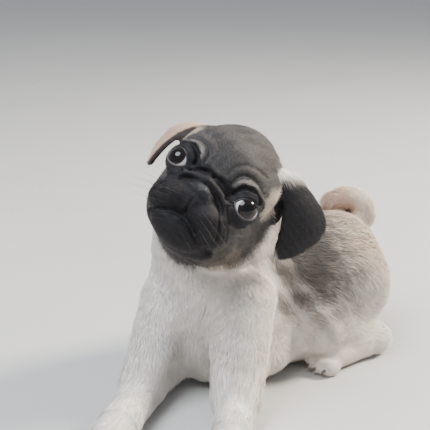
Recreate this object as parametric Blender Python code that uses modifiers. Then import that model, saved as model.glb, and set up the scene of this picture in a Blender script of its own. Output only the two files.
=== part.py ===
"""A pug puppy of about ten weeks at life size, lying on its chest on flat ground.

The forelegs are stretched out in front, the hindquarters are swung to the dog's left, the tail is curled
over the rump and the head is raised and tilted to the dog's left. The dog faces -Y, its left is +X and up
is +Z. Lengths are written in centimetres and turned to metres by cm(); the origin ends up on the ground,
under the middle of the dog.
"""

import math

import bmesh
import bpy
import numpy as np
from mathutils import Matrix, Vector


def cm(*values):
    """Centimetres as metres: one number, or a point."""
    metres = np.array(values, float) * 0.01
    return float(metres[0]) if len(values) == 1 else metres


# Driving dimensions
GAP = 0.0003                       # between neighbouring pieces
HEAD_CENTRE = cm(1.6, 0.0, 14.3)   # middle of the skull
HEAD_YAW = math.radians(3)         # turned to the dog's left
HEAD_PITCH = math.radians(22)      # nose lifted
HEAD_ROLL = math.radians(34.5)       # crown leaning to the dog's left
EYE_SPACING = cm(4.8)
EYE_RADIUS = cm(0.9)
EYE_TURN = math.radians(27)        # how far each eye socket faces outwards
LID_THICKNESS = cm(0.14)
EYE_OPENING = cm(0.8, 0.58)        # half the width and half the height between the lids
EAR_THICKNESS = cm(0.3)
TAIL_RADIUS = cm(1.0)
CHEST_CENTRE = cm(0.8, 2.7, 5.2)
PELVIS_CENTRE = cm(8.6, 10.2, 5.1)
PELVIS_TURN = math.radians(49)     # how far the rump's long axis is swung from the chest's, to the left
SKIN_VOXEL = cm(0.17)              # grain of the skin before thinning
HEAD_SHARE = 0.125
BODY_SHARE = 0.045
EAR_SHARE = 0.3

HEAD_TURN = (
    Matrix.Rotation(HEAD_YAW, 3, "Z")
    @ Matrix.Rotation(-HEAD_PITCH, 3, "X")
    @ Matrix.Rotation(HEAD_ROLL, 3, "Y")
)
PELVIS_FRAME = Matrix.Rotation(-PELVIS_TURN, 3, "Z")


def in_head(x, y, z):
    """A point given in the head's own axes, in centimetres from the skull's middle: x left, y back, z up."""
    return HEAD_CENTRE + np.array(HEAD_TURN @ Vector(cm(x, y, z)))


def in_pelvis(x, y, z):
    """A point given in the rump's own axes, in centimetres from the pelvis: x left, y back, z over the ground."""
    turned = np.array(PELVIS_FRAME @ Vector(cm(x, y, 0.0)))
    return np.array([PELVIS_CENTRE[0] + turned[0], PELVIS_CENTRE[1] + turned[1], cm(z)])


class Flesh:
    """A soft body: rounded masses that melt into each other, kept as a field of distances from their skin."""

    def __init__(self):
        self.masses = []

    def egg(self, centre, radii, melt, turn=None):
        """An ellipsoid. melt is how far it blends into what is already there."""
        turn = np.array(turn or Matrix.Identity(3))
        radii = np.array(radii, float)

        def distance(points):
            local = (points - centre) @ turn
            near = np.linalg.norm(local / radii, axis=1)
            slope = np.linalg.norm(local / radii**2, axis=1)
            return near * (near - 1.0) / np.maximum(slope, 1e-9)

        shape = Matrix.Translation(Vector(centre)) @ Matrix(turn.tolist()).to_4x4()
        self.masses.append((distance, melt, [shape @ Matrix.Diagonal((*radii, 1.0))]))

    def limb(self, start, end, start_radius, end_radius, melt):
        """A length of limb: a round bar between two points whose radius changes evenly."""
        along = end - start
        length_squared = float(along @ along)

        def distance(points):
            share = np.clip((points - start) @ along / length_squared, 0.0, 1.0)
            axis_points = start + share[:, None] * along
            radius = start_radius + share * (end_radius - start_radius)
            return np.linalg.norm(points - axis_points, axis=1) - radius

        blanks = []
        beads = max(3, int(math.sqrt(length_squared) / (0.5 * min(start_radius, end_radius))) + 1)
        for share in np.linspace(0.0, 1.0, beads):
            radius = start_radius + share * (end_radius - start_radius)
            place = Matrix.Translation(Vector(start + share * along))
            blanks.append(place @ Matrix.Diagonal((radius, radius, radius, 1.0)))
        self.masses.append((distance, melt, blanks))

    def roll(self, path, radii, melt):
        """A fold of skin: short lengths of limb through the points of a path."""
        for start, end, first, last in zip(path, path[1:], radii, radii[1:]):
            self.limb(start, end, first, last, melt)

    def depth(self, points):
        """Distance of each point from the blended skin, negative inside."""
        total = None
        for distance, melt, _ in self.masses:
            nearest = distance(points)
            if total is None:
                total = nearest
                continue
            share = np.clip(0.5 + 0.5 * (total - nearest) / melt, 0.0, 1.0)
            total = total + share * (nearest - total) - melt * share * (1.0 - share)
        return total

    def slope(self, points):
        """The field's gradient, by small steps along the three axes."""
        step = cm(0.01)
        sides = []
        for axis in np.eye(3):
            sides.append(self.depth(points + step * axis) - self.depth(points - step * axis))
        return np.stack(sides, axis=1) / (2.0 * step)

    def draw(self, points):
        """Moves points along the field's slope until they lie on the skin."""
        for _ in range(4):
            slope = self.slope(points)
            steep = np.maximum((slope**2).sum(axis=1), 0.25)
            points = points - (self.depth(points) / steep)[:, None] * slope
        return points


def mesh_object(name, form, collection):
    """Puts a bmesh into a new object and frees it."""
    mesh = bpy.data.meshes.new(name)
    form.to_mesh(mesh)
    form.free()
    made = bpy.data.objects.new(name, mesh)
    collection.objects.link(made)
    return made


def settle(made):
    """Replaces an object's mesh by the one that its modifiers make."""
    graph = bpy.context.evaluated_depsgraph_get()
    made.data = bpy.data.meshes.new_from_object(made.evaluated_get(graph))
    made.modifiers.clear()
    return made


def keep_largest(form):
    """Leaves only the largest connected surface of a bmesh."""
    left = set(form.verts)
    pieces = []
    while left:
        found = [left.pop()]
        piece = set(found)
        while found:
            vert = found.pop()
            for edge in vert.link_edges:
                other = edge.other_vert(vert)
                if other in left:
                    left.discard(other)
                    piece.add(other)
                    found.append(other)
        pieces.append(piece)
    largest = max(pieces, key=len)
    scraps = [vert for piece in pieces if piece is not largest for vert in piece]
    bmesh.ops.delete(form, geom=scraps, context="VERTS")


def body_skin(flesh, voxel, collection, rounds=3):
    """The skin of the flesh: its masses fused with Remesh, then drawn onto the blended field."""
    form = bmesh.new()
    bmesh.ops.create_icosphere(form, subdivisions=3, radius=1.0)
    ball = bpy.data.meshes.new("ball")
    form.to_mesh(ball)
    form.clear()
    for _, _, blanks in flesh.masses:
        for place in blanks:
            placed = ball.copy()
            placed.transform(place)
            form.from_mesh(placed)
            bpy.data.meshes.remove(placed)
    blank = mesh_object("blank", form, collection)
    remesh = blank.modifiers.new("Fuse", "REMESH")
    remesh.mode = "VOXEL"
    remesh.voxel_size = voxel
    settle(blank)

    form = bmesh.new()
    form.from_mesh(blank.data)
    keep_largest(form)
    verts = list(form.verts)
    for smoothing in range(rounds + 1):
        if smoothing:
            bmesh.ops.smooth_vert(form, verts=verts, factor=0.5, use_axis_x=True, use_axis_y=True, use_axis_z=True)
        points = flesh.draw(np.array([vert.co for vert in verts]))
        for vert, point in zip(verts, points):
            vert.co = point
    form.to_mesh(blank.data)
    form.free()
    return blank


def thin_out(made, share):
    """Collapses edges where the form is plain, down to this share of the faces."""
    decimate = made.modifiers.new("Thin", "DECIMATE")
    decimate.ratio = share
    return settle(made)


def block(name, place, low, high, collection):
    """A box between two corners given in the axes of the matrix place."""
    middle = (np.array(low) + np.array(high)) / 2.0
    size = np.array(high) - np.array(low)
    form = bmesh.new()
    matrix = place @ Matrix.Translation(Vector(middle)) @ Matrix.Diagonal((*size, 1.0))
    bmesh.ops.create_cube(form, size=1.0, matrix=matrix)
    return mesh_object(name, form, collection)


def cut(made, cutter, operation):
    """One Boolean on two closed meshes, applied. MANIFOLD, because EXACT is slow on a skin this fine."""
    boolean = made.modifiers.new("Cut", "BOOLEAN")
    boolean.object = cutter
    boolean.operation = operation
    boolean.solver = "MANIFOLD"
    return settle(made)


def copy_of(made, name, collection):
    """A separate object with its own copy of the mesh."""
    twin = bpy.data.objects.new(name, made.data.copy())
    collection.objects.link(twin)
    return twin


def smooth_path(points, count):
    """Evenly numbered points on a smooth curve through the given ones."""
    points = np.array(points, float)
    padded = np.vstack([2 * points[0] - points[1], points, 2 * points[-1] - points[-2]])
    found = []
    for place in np.linspace(0.0, len(points) - 1.0, count):
        i = min(int(place), len(points) - 2)
        t = place - i
        a, b, c, d = padded[i : i + 4]
        found.append(
            0.5 * (2 * b + (c - a) * t + (2 * a - 5 * b + 4 * c - d) * t**2 + (3 * b - a - 3 * c + d) * t**3)
        )
    return np.array(found)


def tube(name, path, radii, sides_setting, collection):
    """A round tube along a path, closed at both ends, made a mesh."""
    curve = bpy.data.curves.new(name, "CURVE")
    curve.dimensions = "3D"
    curve.bevel_depth = 1.0
    curve.bevel_resolution = sides_setting
    curve.use_fill_caps = True
    spline = curve.splines.new("POLY")
    spline.points.add(len(path) - 1)
    for point, place, radius in zip(spline.points, path, radii):
        point.co = (*place, 1.0)
        point.radius = radius
    drawn = bpy.data.objects.new(name, curve)
    collection.objects.link(drawn)
    graph = bpy.context.evaluated_depsgraph_get()
    mesh = bpy.data.meshes.new_from_object(drawn.evaluated_get(graph))
    bpy.data.objects.remove(drawn)
    form = bmesh.new()
    form.from_mesh(mesh)
    bmesh.ops.remove_doubles(form, verts=form.verts, dist=1e-6)
    bmesh.ops.recalc_face_normals(form, faces=form.faces)
    return mesh_object(name, form, collection)


def torso_masses(flesh):
    """Chest, ribs, loin and pelvis, along a back that bends to the dog's left, and the neck."""
    flesh.egg(CHEST_CENTRE, cm(3.5, 3.6, 5.3), cm(1.0))
    flesh.egg(cm(2.7, 5.3, 5.5), cm(4.1, 4.1, 5.75), cm(1.6))
    flesh.egg(cm(5.6, 8.0, 5.6), cm(4.1, 3.9, 5.85), cm(1.6))
    flesh.egg(PELVIS_CENTRE, cm(4.0, 3.9, 5.4), cm(1.6))
    flesh.egg(cm(3.2, 5.0, 2.1), cm(3.6, 3.9, 2.3), cm(1.0))
    flesh.egg(cm(6.0, 8.0, 2.1), cm(3.3, 3.2, 2.3), cm(1.0))
    flesh.limb(cm(0.4, 3.0, 7.6), cm(0.9, 1.6, 12.0), cm(3.7), cm(3.55), cm(1.6))
    flesh.limb(cm(2.4, 5.0, 9.3), cm(2.6, 2.4, 13.4), cm(3.3), cm(2.6), cm(1.6))


TOES = ((-0.95, 0.95), (-0.34, 1.35), (0.34, 1.35), (0.95, 0.95))  # aside and ahead of the paw's middle


def toe_masses(flesh, paw, turn):
    """Four toes fanned in front of a paw."""
    heading = Matrix.Rotation(turn, 3, "Z")
    for side, reach in TOES:
        toe = paw + np.array(heading @ Vector(cm(side, -reach, 0.0)))
        toe[2] = cm(0.62)
        flesh.egg(toe, cm(0.46, 0.75, 0.68), cm(0.3), heading)


FORELEGS = {
    "right": (cm(-1.2, 2.0, 6.4), cm(-2.25, 1.0, 1.62), cm(-2.9, -6.2, 1.25), cm(-3.15, -8.2, 1.15), -3),
    "left": (cm(3.0, 2.2, 6.6), cm(3.25, 1.2, 1.62), cm(4.1, -5.8, 1.25), cm(4.35, -7.8, 1.15), 8),
}


ARM_MUSCLES = {
    "right": (cm(-1.7, 1.0, 6.6), cm(-2.7, -2.4, 1.9), cm(1.8, 1.5)),
    "left": (cm(3.5, 0.7, 7.2), cm(3.75, -2.8, 1.95), cm(2.1, 1.75)),
}


def foreleg_masses(flesh):
    """Upper arms beside the chest, the muscle in front of them, elbows and forearms on the ground, and paws."""
    for side, (shoulder, elbow, wrist, paw, toe_turn) in FORELEGS.items():
        flesh.limb(shoulder, elbow, cm(2.1), cm(1.65), cm(0.9))
        shoulder_point, forearm, radii = ARM_MUSCLES[side]
        flesh.limb(shoulder_point, forearm, *radii, cm(0.6))
        flesh.limb(elbow, wrist, cm(1.65), cm(1.3), cm(0.6))
        flesh.limb(wrist, paw, cm(1.3), cm(1.2), cm(0.5))
        toe_masses(flesh, paw, math.radians(toe_turn))


def hind_paw(side):
    """Middle of a hind paw and the way its toes point."""
    return in_pelvis(side * 3.6, -2.2, 1.05), -PELVIS_TURN + math.radians(4 * side)


def hindleg_masses(flesh):
    """Folded thighs beside the rump, with the hind feet flat on the ground."""
    for side in (-1, 1):
        hip = in_pelvis(side * 1.8, 0.3, 5.4)
        knee = in_pelvis(side * 3.0, -3.2, 3.6)
        hock = in_pelvis(side * 3.1, 1.7, 1.25)
        paw, toe_turn = hind_paw(side)
        flesh.limb(hip, knee, cm(2.9), cm(1.9), cm(1.0))
        flesh.limb(knee, hock, cm(1.7), cm(1.25), cm(0.8))
        flesh.limb(hock, paw, cm(1.2), cm(1.1), cm(0.5))
        toe_masses(flesh, paw, toe_turn)


def skull_masses(flesh):
    """The round skull, brows, cheeks and throat, and the root of the ear that hangs free."""
    flesh.egg(in_head(0, 0.5, 0.85), cm(3.5, 3.7, 4.2), cm(1.0), HEAD_TURN)
    flesh.egg(in_head(0, -1.1, 1.6), cm(3.0, 2.5, 2.7), cm(0.8), HEAD_TURN)
    flesh.egg(in_head(0, -0.6, -1.95), cm(2.8, 2.9, 2.3), cm(0.5), HEAD_TURN)
    for side in (-1, 1):
        flesh.egg(in_head(side * 1.95, -0.5, -1.2), cm(1.3, 2.4, 2.2), cm(0.8), HEAD_TURN)
        flesh.egg(in_head(side * 2.0, -2.45, 1.6), cm(1.1, 0.85, 0.65), cm(0.5), HEAD_TURN)
        flesh.egg(in_head(side * 2.55, -1.0, 2.0), cm(0.95, 1.3, 1.3), cm(0.5), HEAD_TURN)
    flesh.egg(HEAD_CENTRE + cm(3.7, 1.0, -0.3), cm(0.78, 0.8, 1.65), cm(0.4))


def muzzle_masses(flesh):
    """The short square muzzle: bridge, chin, two hanging lips and the rolls of skin over the nose."""
    flesh.egg(in_head(0, -3.2, -0.7), cm(1.5, 1.6, 1.1), cm(0.5), HEAD_TURN)
    flesh.egg(in_head(0, -2.8, -2.6), cm(1.95, 1.7, 1.3), cm(0.4), HEAD_TURN)
    for side in (-1, 1):
        flesh.egg(in_head(side * 1.2, -3.5, -1.2), cm(1.2, 1.45, 0.95), cm(0.3), HEAD_TURN)
        flesh.egg(in_head(side * 1.75, -3.0, -1.75), cm(1.0, 1.35, 1.05), cm(0.3), HEAD_TURN)
        roll = [(2.45, -2.3, -1.8), (2.15, -2.95, -0.7), (1.4, -3.7, 0.1), (0.0, -3.98, 0.52)]
        path = [in_head(side * x, y, z) for x, y, z in roll]
        flesh.roll(path, cm(0.34, 0.36, 0.38, 0.38), cm(0.15))


def eye_place(side):
    """Middle of an eyeball; side is 1 for the dog's left."""
    return in_head(side * EYE_SPACING * 50.0, -2.5, 0.6)


def eye_frame(side):
    """Axes of an eye socket: x outwards across the face, -y out of the socket, z up, at the eye's middle."""
    turn = HEAD_TURN @ Matrix.Rotation(side * EYE_TURN, 3, "Z") @ Matrix.Rotation(-side * math.radians(6), 3, "Y")
    return Matrix.Translation(Vector(eye_place(side))) @ turn.to_4x4()


def lid_masses(flesh):
    """The lids: a shell of skin over each eyeball."""
    for side in (-1, 1):
        radius = EYE_RADIUS + LID_THICKNESS
        flesh.egg(eye_place(side), (radius, radius, radius), cm(0.3), HEAD_TURN)


def make_flesh():
    """The whole body of flesh, without ears, tail, nose and eyes."""
    flesh = Flesh()
    torso_masses(flesh)
    foreleg_masses(flesh)
    hindleg_masses(flesh)
    skull_masses(flesh)
    muzzle_masses(flesh)
    lid_masses(flesh)
    return flesh


def ear_sheet(name, stations, turn, origin, collection):
    """One ear: a sheet of skin through its stations from base to tip, cupped, then thickened.

    Each station is its front edge, its rear edge and how far the middle bulges outwards.
    """
    outward = Vector(np.cross(stations[3][1] - stations[3][0], stations[4][0] - stations[1][0])).normalized()
    if outward.dot(Vector((stations[2][0][0], 0.0, 0.0))) < 0.0:
        outward = -outward
    form = bmesh.new()
    rows = []
    for front, rear, bulge in stations:
        row = []
        for share in np.linspace(0.0, 1.0, 6):
            place = front + share * (rear - front) + np.array(outward) * bulge * 4.0 * share * (1.0 - share)
            row.append(form.verts.new(origin + np.array(turn @ Vector(place))))
        rows.append(row)
    for upper, lower in zip(rows, rows[1:]):
        for i in range(len(upper) - 1):
            form.faces.new((upper[i], upper[i + 1], lower[i + 1], lower[i]))
    sheet = mesh_object(name, form, collection)
    thicken = sheet.modifiers.new("Thicken", "SOLIDIFY")
    thicken.thickness = EAR_THICKNESS
    thicken.offset = 0.0
    rounding = sheet.modifiers.new("Round", "SUBSURF")
    rounding.levels = rounding.render_levels = 2
    settle(sheet)
    form = bmesh.new()
    form.from_mesh(sheet.data)
    bmesh.ops.triangulate(form, faces=form.faces)
    bmesh.ops.recalc_face_normals(form, faces=form.faces)
    form.to_mesh(sheet.data)
    form.free()
    return thin_out(sheet, EAR_SHARE)


EAR_STATIONS = {
    "right": (
        (cm(-1.6, -0.5, 3.2), cm(-1.6, 1.7, 2.8), cm(0.1)),
        (cm(-2.7, -1.1, 3.3), cm(-3.3, 1.7, 3.4), cm(0.15)),
        (cm(-3.35, -1.5, 2.35), cm(-4.45, 1.4, 2.85), cm(0.2)),
        (cm(-3.75, -1.7, 1.35), cm(-5.1, 1.2, 2.0), cm(0.2)),
        (cm(-4.0, -1.6, 0.35), cm(-5.2, 1.0, 0.75), cm(0.2)),
        (cm(-4.1, -1.3, -0.35), cm(-4.9, 0.5, -0.25), cm(0.12)),
        (cm(-4.2, -0.9, -0.95), cm(-4.4, -0.5, -0.95), cm(0.05)),
    ),
    "left": (
        (cm(2.6, 0.5, 1.6), cm(2.8, 1.9, 1.4), cm(0.1)),
        (cm(4.1, 0.35, 1.8), cm(4.7, 1.7, 1.45), cm(0.1)),
        (cm(4.5, 0.15, 1.1), cm(5.6, 1.75, 0.6), cm(0.15)),
        (cm(4.45, 0.0, 0.1), cm(6.3, 2.1, -0.4), cm(0.35)),
        (cm(4.4, -0.1, -1.1), cm(7.1, 2.3, -1.7), cm(0.45)),
        (cm(4.12, -0.1, -2.4), cm(7.0, 2.0, -2.95), cm(0.4)),
        (cm(3.85, 0.0, -3.6), cm(5.3, 0.9, -3.95), cm(0.15)),
        (cm(3.95, 0.05, -3.95), cm(4.15, 0.2, -4.0), cm(0.05)),
    ),
}


def make_ears(head_hull, collection):
    """Both ears, cut clear of the head. The left one hangs free, so its stations keep upright axes."""
    upright = Matrix.Identity(3)
    ears = []
    for side, turn in (("left", upright), ("right", HEAD_TURN)):
        ear = ear_sheet("ear_" + side, EAR_STATIONS[side], turn, HEAD_CENTRE, collection)
        cut(ear, head_hull, "DIFFERENCE")
        keep_main_body(ear)
        ears.append(ear)
    return ears


def keep_main_body(made):
    """Drops the scraps that a cut left loose."""
    form = bmesh.new()
    form.from_mesh(made.data)
    keep_largest(form)
    form.to_mesh(made.data)
    form.free()


def make_nose(hull, collection, cutters):
    """The nose leather: a rounded wedge on the front of the muzzle, with two nostrils pressed in."""
    form = bmesh.new()
    shape = Matrix.Translation(Vector(in_head(0, -4.33, -0.22))) @ HEAD_TURN.to_4x4()
    bmesh.ops.create_uvsphere(
        form, u_segments=20, v_segments=12, radius=1.0, matrix=shape @ Matrix.Diagonal((*cm(0.82, 0.57, 0.57), 1.0))
    )
    nose = mesh_object("nose", form, collection)
    form = bmesh.new()
    for side in (-1, 1):
        lean = Matrix.Rotation(side * math.radians(25), 4, "Y")
        place = shape @ Matrix.Translation(Vector(cm(side * 0.4, -0.54, -0.02))) @ lean
        bmesh.ops.create_uvsphere(
            form, u_segments=12, v_segments=8, radius=1.0, matrix=place @ Matrix.Diagonal((*cm(0.19, 0.3, 0.13), 1.0))
        )
    cut(nose, mesh_object("nostrils", form, cutters), "DIFFERENCE")
    cut(nose, hull, "DIFFERENCE")
    keep_main_body(nose)
    return nose


def make_eye(side, collection):
    """One eyeball, a full sphere whose pole looks out of its socket."""
    form = bmesh.new()
    matrix = eye_frame(side) @ Matrix.Rotation(math.radians(90), 4, "X")
    bmesh.ops.create_uvsphere(form, u_segments=20, v_segments=12, radius=EYE_RADIUS, matrix=matrix)
    return mesh_object("eye_left" if side > 0 else "eye_right", form, collection)


def socket_cutters(side, collection):
    """What is taken out of the head for one eye: the ball's room, and the opening between the lids."""
    form = bmesh.new()
    bmesh.ops.create_uvsphere(
        form, u_segments=24, v_segments=14, radius=EYE_RADIUS + GAP, matrix=Matrix.Translation(eye_place(side))
    )
    room = mesh_object("eye room", form, collection)
    form = bmesh.new()
    reach = 2.0 * EYE_RADIUS
    place = eye_frame(side) @ Matrix.Translation(Vector((0.0, -0.5 * reach, 0.0))) @ Matrix.Rotation(
        math.radians(90), 4, "X"
    )
    bmesh.ops.create_cone(
        form, cap_ends=True, segments=28, radius1=1.0, radius2=1.0, depth=reach,
        matrix=place @ Matrix.Diagonal((*EYE_OPENING, 1.0, 1.0)),
    )
    bmesh.ops.triangulate(form, faces=form.faces)
    bmesh.ops.recalc_face_normals(form, faces=form.faces)
    opening = mesh_object("eye opening", form, collection)
    return room, opening


def mouth_cutters(flesh, collection):
    """A thin tube along the line of the mouth, and one down the groove under the nose."""
    half = [(2.15, -2.3, -2.85), (1.8, -3.3, -2.6), (1.1, -4.3, -2.22), (0.45, -4.7, -1.93)]
    line = half + [(0.0, -4.7, -1.85)] + [(-x, y, z) for x, y, z in reversed(half)]
    groove = [(0.0, -4.8, -0.6), (0.0, -4.9, -0.95), (0.0, -4.9, -1.4), (0.0, -4.75, -1.85)]
    cutters = []
    for name, points, radius in (("mouth line", line, cm(0.14)), ("lip groove", groove, cm(0.1))):
        path = smooth_path([in_head(*point) for point in points], 3 * len(points) - 2)
        cutters.append(tube(name, flesh.draw(path), np.full(len(path), radius), 1, collection))
    return cutters


def make_tail(hull, flesh, collection):
    """The tail: one curl over the rump, thick at the root, its tip turned in on the near side."""
    middle = cm(9.3, 12.9, 9.65)
    across = np.array([math.cos(math.radians(12)), math.sin(math.radians(12)), 0.0])
    towards = np.array([math.sin(math.radians(12)), -math.cos(math.radians(12)), 0.0])
    path = []
    for share in np.linspace(0.0, 1.0, 26):
        angle = math.radians(-75 + 285 * share)
        radius = cm(1.25 - 0.15 * share)
        level = np.array([0.0, 0.0, math.sin(angle) * radius])
        path.append(middle + across * math.cos(angle) * radius + level + towards * cm(-0.1 + 0.5 * share))
    path = np.array(path)
    radii = TAIL_RADIUS * np.interp(np.linspace(0.0, 1.0, 26), [0.0, 0.6, 0.9, 1.0], [1.05, 0.95, 0.8, 0.45])
    free = np.arange(26) > 12
    for _ in range(20):
        short = np.maximum(radii + cm(0.1) - flesh.depth(path), 0.0) * free
        path += short[:, None] * flesh.slope(path)
    tail = tube("tail", path, radii, 4, collection)
    cut(tail, hull, "DIFFERENCE")
    keep_main_body(tail)
    return tail


def make_claws(name, paw, turn, collection):
    """Four short claws for one paw, as one object to be joined to it."""
    heading = Matrix.Rotation(turn, 3, "Z")
    form = bmesh.new()
    for side, reach in TOES:
        tip = paw + np.array(heading @ Vector(cm(side, -reach - 0.72, 0.0)))
        tip[2] = cm(0.42)
        place = Matrix.Translation(Vector(tip)) @ heading.to_4x4() @ Matrix.Rotation(math.radians(65), 4, "X")
        bmesh.ops.create_cone(
            form, cap_ends=True, segments=8, radius1=cm(0.15), radius2=cm(0.05), depth=cm(0.6), matrix=place
        )
    bmesh.ops.triangulate(form, faces=form.faces)
    return mesh_object(name, form, collection)


def plane_box(through, normal):
    """A box, as place, low corner and high corner, that fills the side of a plane its normal points to."""
    turn = Vector(normal).to_track_quat("Z", "Y").to_matrix().to_4x4()
    return Matrix.Translation(Vector(through)) @ turn, cm(-60, -60, 0), cm(60, 60, 60)


def join_in(made, addition):
    """Fuses another closed object into the first, and removes it."""
    cut(made, addition, "UNION")
    bpy.data.objects.remove(addition)


def region(name, boxes, grow, collection):
    """Boxes fused into one cutter, each pushed out by grow on all sides."""
    fused = None
    for place, low, high in boxes:
        piece = block(name, place, low - grow, high + grow, collection)
        if fused is None:
            fused = piece
        else:
            join_in(fused, piece)
    return fused


def split(whole, boxes, name, pieces, cutters):
    """Moves what lies in the boxes to a piece of its own, and leaves the rest a gap away from it."""
    piece = copy_of(whole, name, pieces)
    cut(piece, region(name + " region", boxes, 0.0, cutters), "INTERSECT")
    keep_main_body(piece)
    cut(whole, region(name + " room", boxes, GAP, cutters), "DIFFERENCE")
    keep_main_body(whole)
    return piece


def swollen(made, name, collection):
    """A copy whose surface lies one gap further out, for cutting neighbours clear."""
    hull = copy_of(made, name, collection)
    grow = hull.modifiers.new("Grow", "DISPLACE")
    grow.strength = GAP
    grow.mid_level = 0.0
    return settle(hull)


def painted(made, name, colour, roughness):
    """Gives a piece its own Principled material."""
    material = bpy.data.materials.new(name)
    material.use_nodes = True
    shader = material.node_tree.nodes["Principled BSDF"]
    shader.inputs["Base Color"].default_value = (*colour, 1.0)
    shader.inputs["Roughness"].default_value = roughness
    made.data.materials.clear()
    made.data.materials.append(material)


LEVEL = Matrix.Identity(4)
HEAD_PLANE = plane_box(cm(1.3, 0.0, 10.9), (0.0, -0.29, 0.957))
NECK_PLANE = plane_box(cm(1.0, 2.2, 9.0), (0.0, -0.42, 0.91))
RUMP_PLANE = plane_box(cm(4.9, 7.4, 5.0), (0.68, 0.73, 0.0))
HIND_PLACE = Matrix.Translation(Vector((PELVIS_CENTRE[0], PELVIS_CENTRE[1], 0.0))) @ PELVIS_FRAME.to_4x4()
LIMB_REGIONS = (
    ("fore_paw_right", [(LEVEL, cm(-8, -14, -1), cm(0.2, -6.9, 4))]),
    ("fore_paw_left", [(LEVEL, cm(0.2, -14, -1), cm(9, -6.6, 4))]),
    ("foreleg_right", [
        (LEVEL, cm(-8, -8, -1), cm(-1.3, 3.0, 5.8)),
        (LEVEL, cm(-8, -8, -1), cm(0.2, -1.6, 4.0)),
    ]),
    ("foreleg_left", [
        (LEVEL, cm(2.1, -8, -1), cm(8, 3.2, 5.8)),
        (LEVEL, cm(0.8, -8, -1), cm(8, -1.6, 4.0)),
    ]),
    ("hind_paw_left", [(HIND_PLACE, cm(2.0, -7, -1), cm(8, 0.3, 1.9))]),
    ("hind_paw_right", [(HIND_PLACE, cm(-8, -7, -1), cm(-2.0, 0.3, 1.9))]),
    ("hind_leg_left", [(HIND_PLACE, cm(2.2, -7, -1), cm(9, 5, 8.0))]),
    ("hind_leg_right", [(HIND_PLACE, cm(-9, -7, -1), cm(-2.2, 5, 8.0))]),
)
CREAM = (0.72, 0.62, 0.48)
GRIZZLE = (0.42, 0.37, 0.31)
MASK = (0.05, 0.045, 0.045)
LEATHER = (0.03, 0.03, 0.035)
EYE_BROWN = (0.03, 0.015, 0.01)
COLOURS = {
    "head": (GRIZZLE, 0.8),
    "neck": (CREAM, 0.85),
    "torso": (CREAM, 0.85),
    "rump": (GRIZZLE, 0.85),
    "ear": (MASK, 0.75),
    "nose": (LEATHER, 0.4),
    "eye": (EYE_BROWN, 0.08),
}


for stale in list(bpy.data.objects):
    bpy.data.objects.remove(stale)
pieces_collection = bpy.data.collections.new("pug_puppy")
cutters_collection = bpy.data.collections.new("cutters")
bpy.context.scene.collection.children.link(pieces_collection)
bpy.context.scene.collection.children.link(cutters_collection)

# The skin, once for the head with fine detail and once for the body, cut flat where it rests on the ground
flesh = make_flesh()
skin = body_skin(flesh, SKIN_VOXEL, cutters_collection)
body = thin_out(copy_of(skin, "torso", pieces_collection), BODY_SHARE)
head_skin = thin_out(skin, HEAD_SHARE)
head_hull = swollen(head_skin, "head hull", cutters_collection)
body_hull = swollen(body, "body hull", cutters_collection)
cut(body, block("ground", LEVEL, cm(-60, -60, -60), cm(60, 60, 0), cutters_collection), "DIFFERENCE")

# Head, with the eyes' sockets and lids and the line of the mouth
head = copy_of(head_skin, "head", pieces_collection)
cut(head, region("head region", [HEAD_PLANE], 0.0, cutters_collection), "INTERSECT")
make_nose(head_hull, pieces_collection, cutters_collection)
for cutter in mouth_cutters(flesh, cutters_collection):
    cut(head, cutter, "DIFFERENCE")
for eye_side in (1, -1):
    for cutter in socket_cutters(eye_side, cutters_collection):
        cut(head, cutter, "DIFFERENCE")
    make_eye(eye_side, pieces_collection)
keep_main_body(head)

# Neck, rump and limbs, taken off the torso one after another
cut(body, region("head room", [HEAD_PLANE], GAP, cutters_collection), "DIFFERENCE")
split(body, [NECK_PLANE], "neck", pieces_collection, cutters_collection)
for limb_name, limb_boxes in LIMB_REGIONS:
    split(body, limb_boxes, limb_name, pieces_collection, cutters_collection)
split(body, [RUMP_PLANE], "rump", pieces_collection, cutters_collection)
for paw_name, (paw_place, paw_turn) in {
    "fore_paw_left": (FORELEGS["left"][3], math.radians(FORELEGS["left"][4])),
    "fore_paw_right": (FORELEGS["right"][3], math.radians(FORELEGS["right"][4])),
    "hind_paw_left": hind_paw(1),
    "hind_paw_right": hind_paw(-1),
}.items():
    join_in(bpy.data.objects[paw_name], make_claws("claws", paw_place, paw_turn, cutters_collection))

# Ears and tail, cut clear of the body
for ear in make_ears(head_hull, pieces_collection):
    cut(ear, body_hull, "DIFFERENCE")
    keep_main_body(ear)
make_tail(body_hull, flesh, pieces_collection)

# Materials, and the origin on the ground under the middle
corners = np.array([vert.co for made in pieces_collection.objects for vert in made.data.vertices])
low_corner, high_corner = corners.min(axis=0), corners.max(axis=0)
to_origin = Matrix.Translation(Vector((*(-(low_corner + high_corner)[:2] / 2.0), 0.0)))
for made in pieces_collection.objects:
    made.data.transform(to_origin)
    kind = next((kind for kind in COLOURS if made.name.startswith(kind)), "torso")
    painted(made, made.name + " coat", *COLOURS[kind])
for cutter in cutters_collection.objects:
    cutter.hide_render = True
    cutter.display_type = "WIRE"
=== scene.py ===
import math

import bmesh
import bpy
import numpy as np
from mathutils import Matrix, Vector
from mathutils.bvhtree import BVHTree


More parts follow.
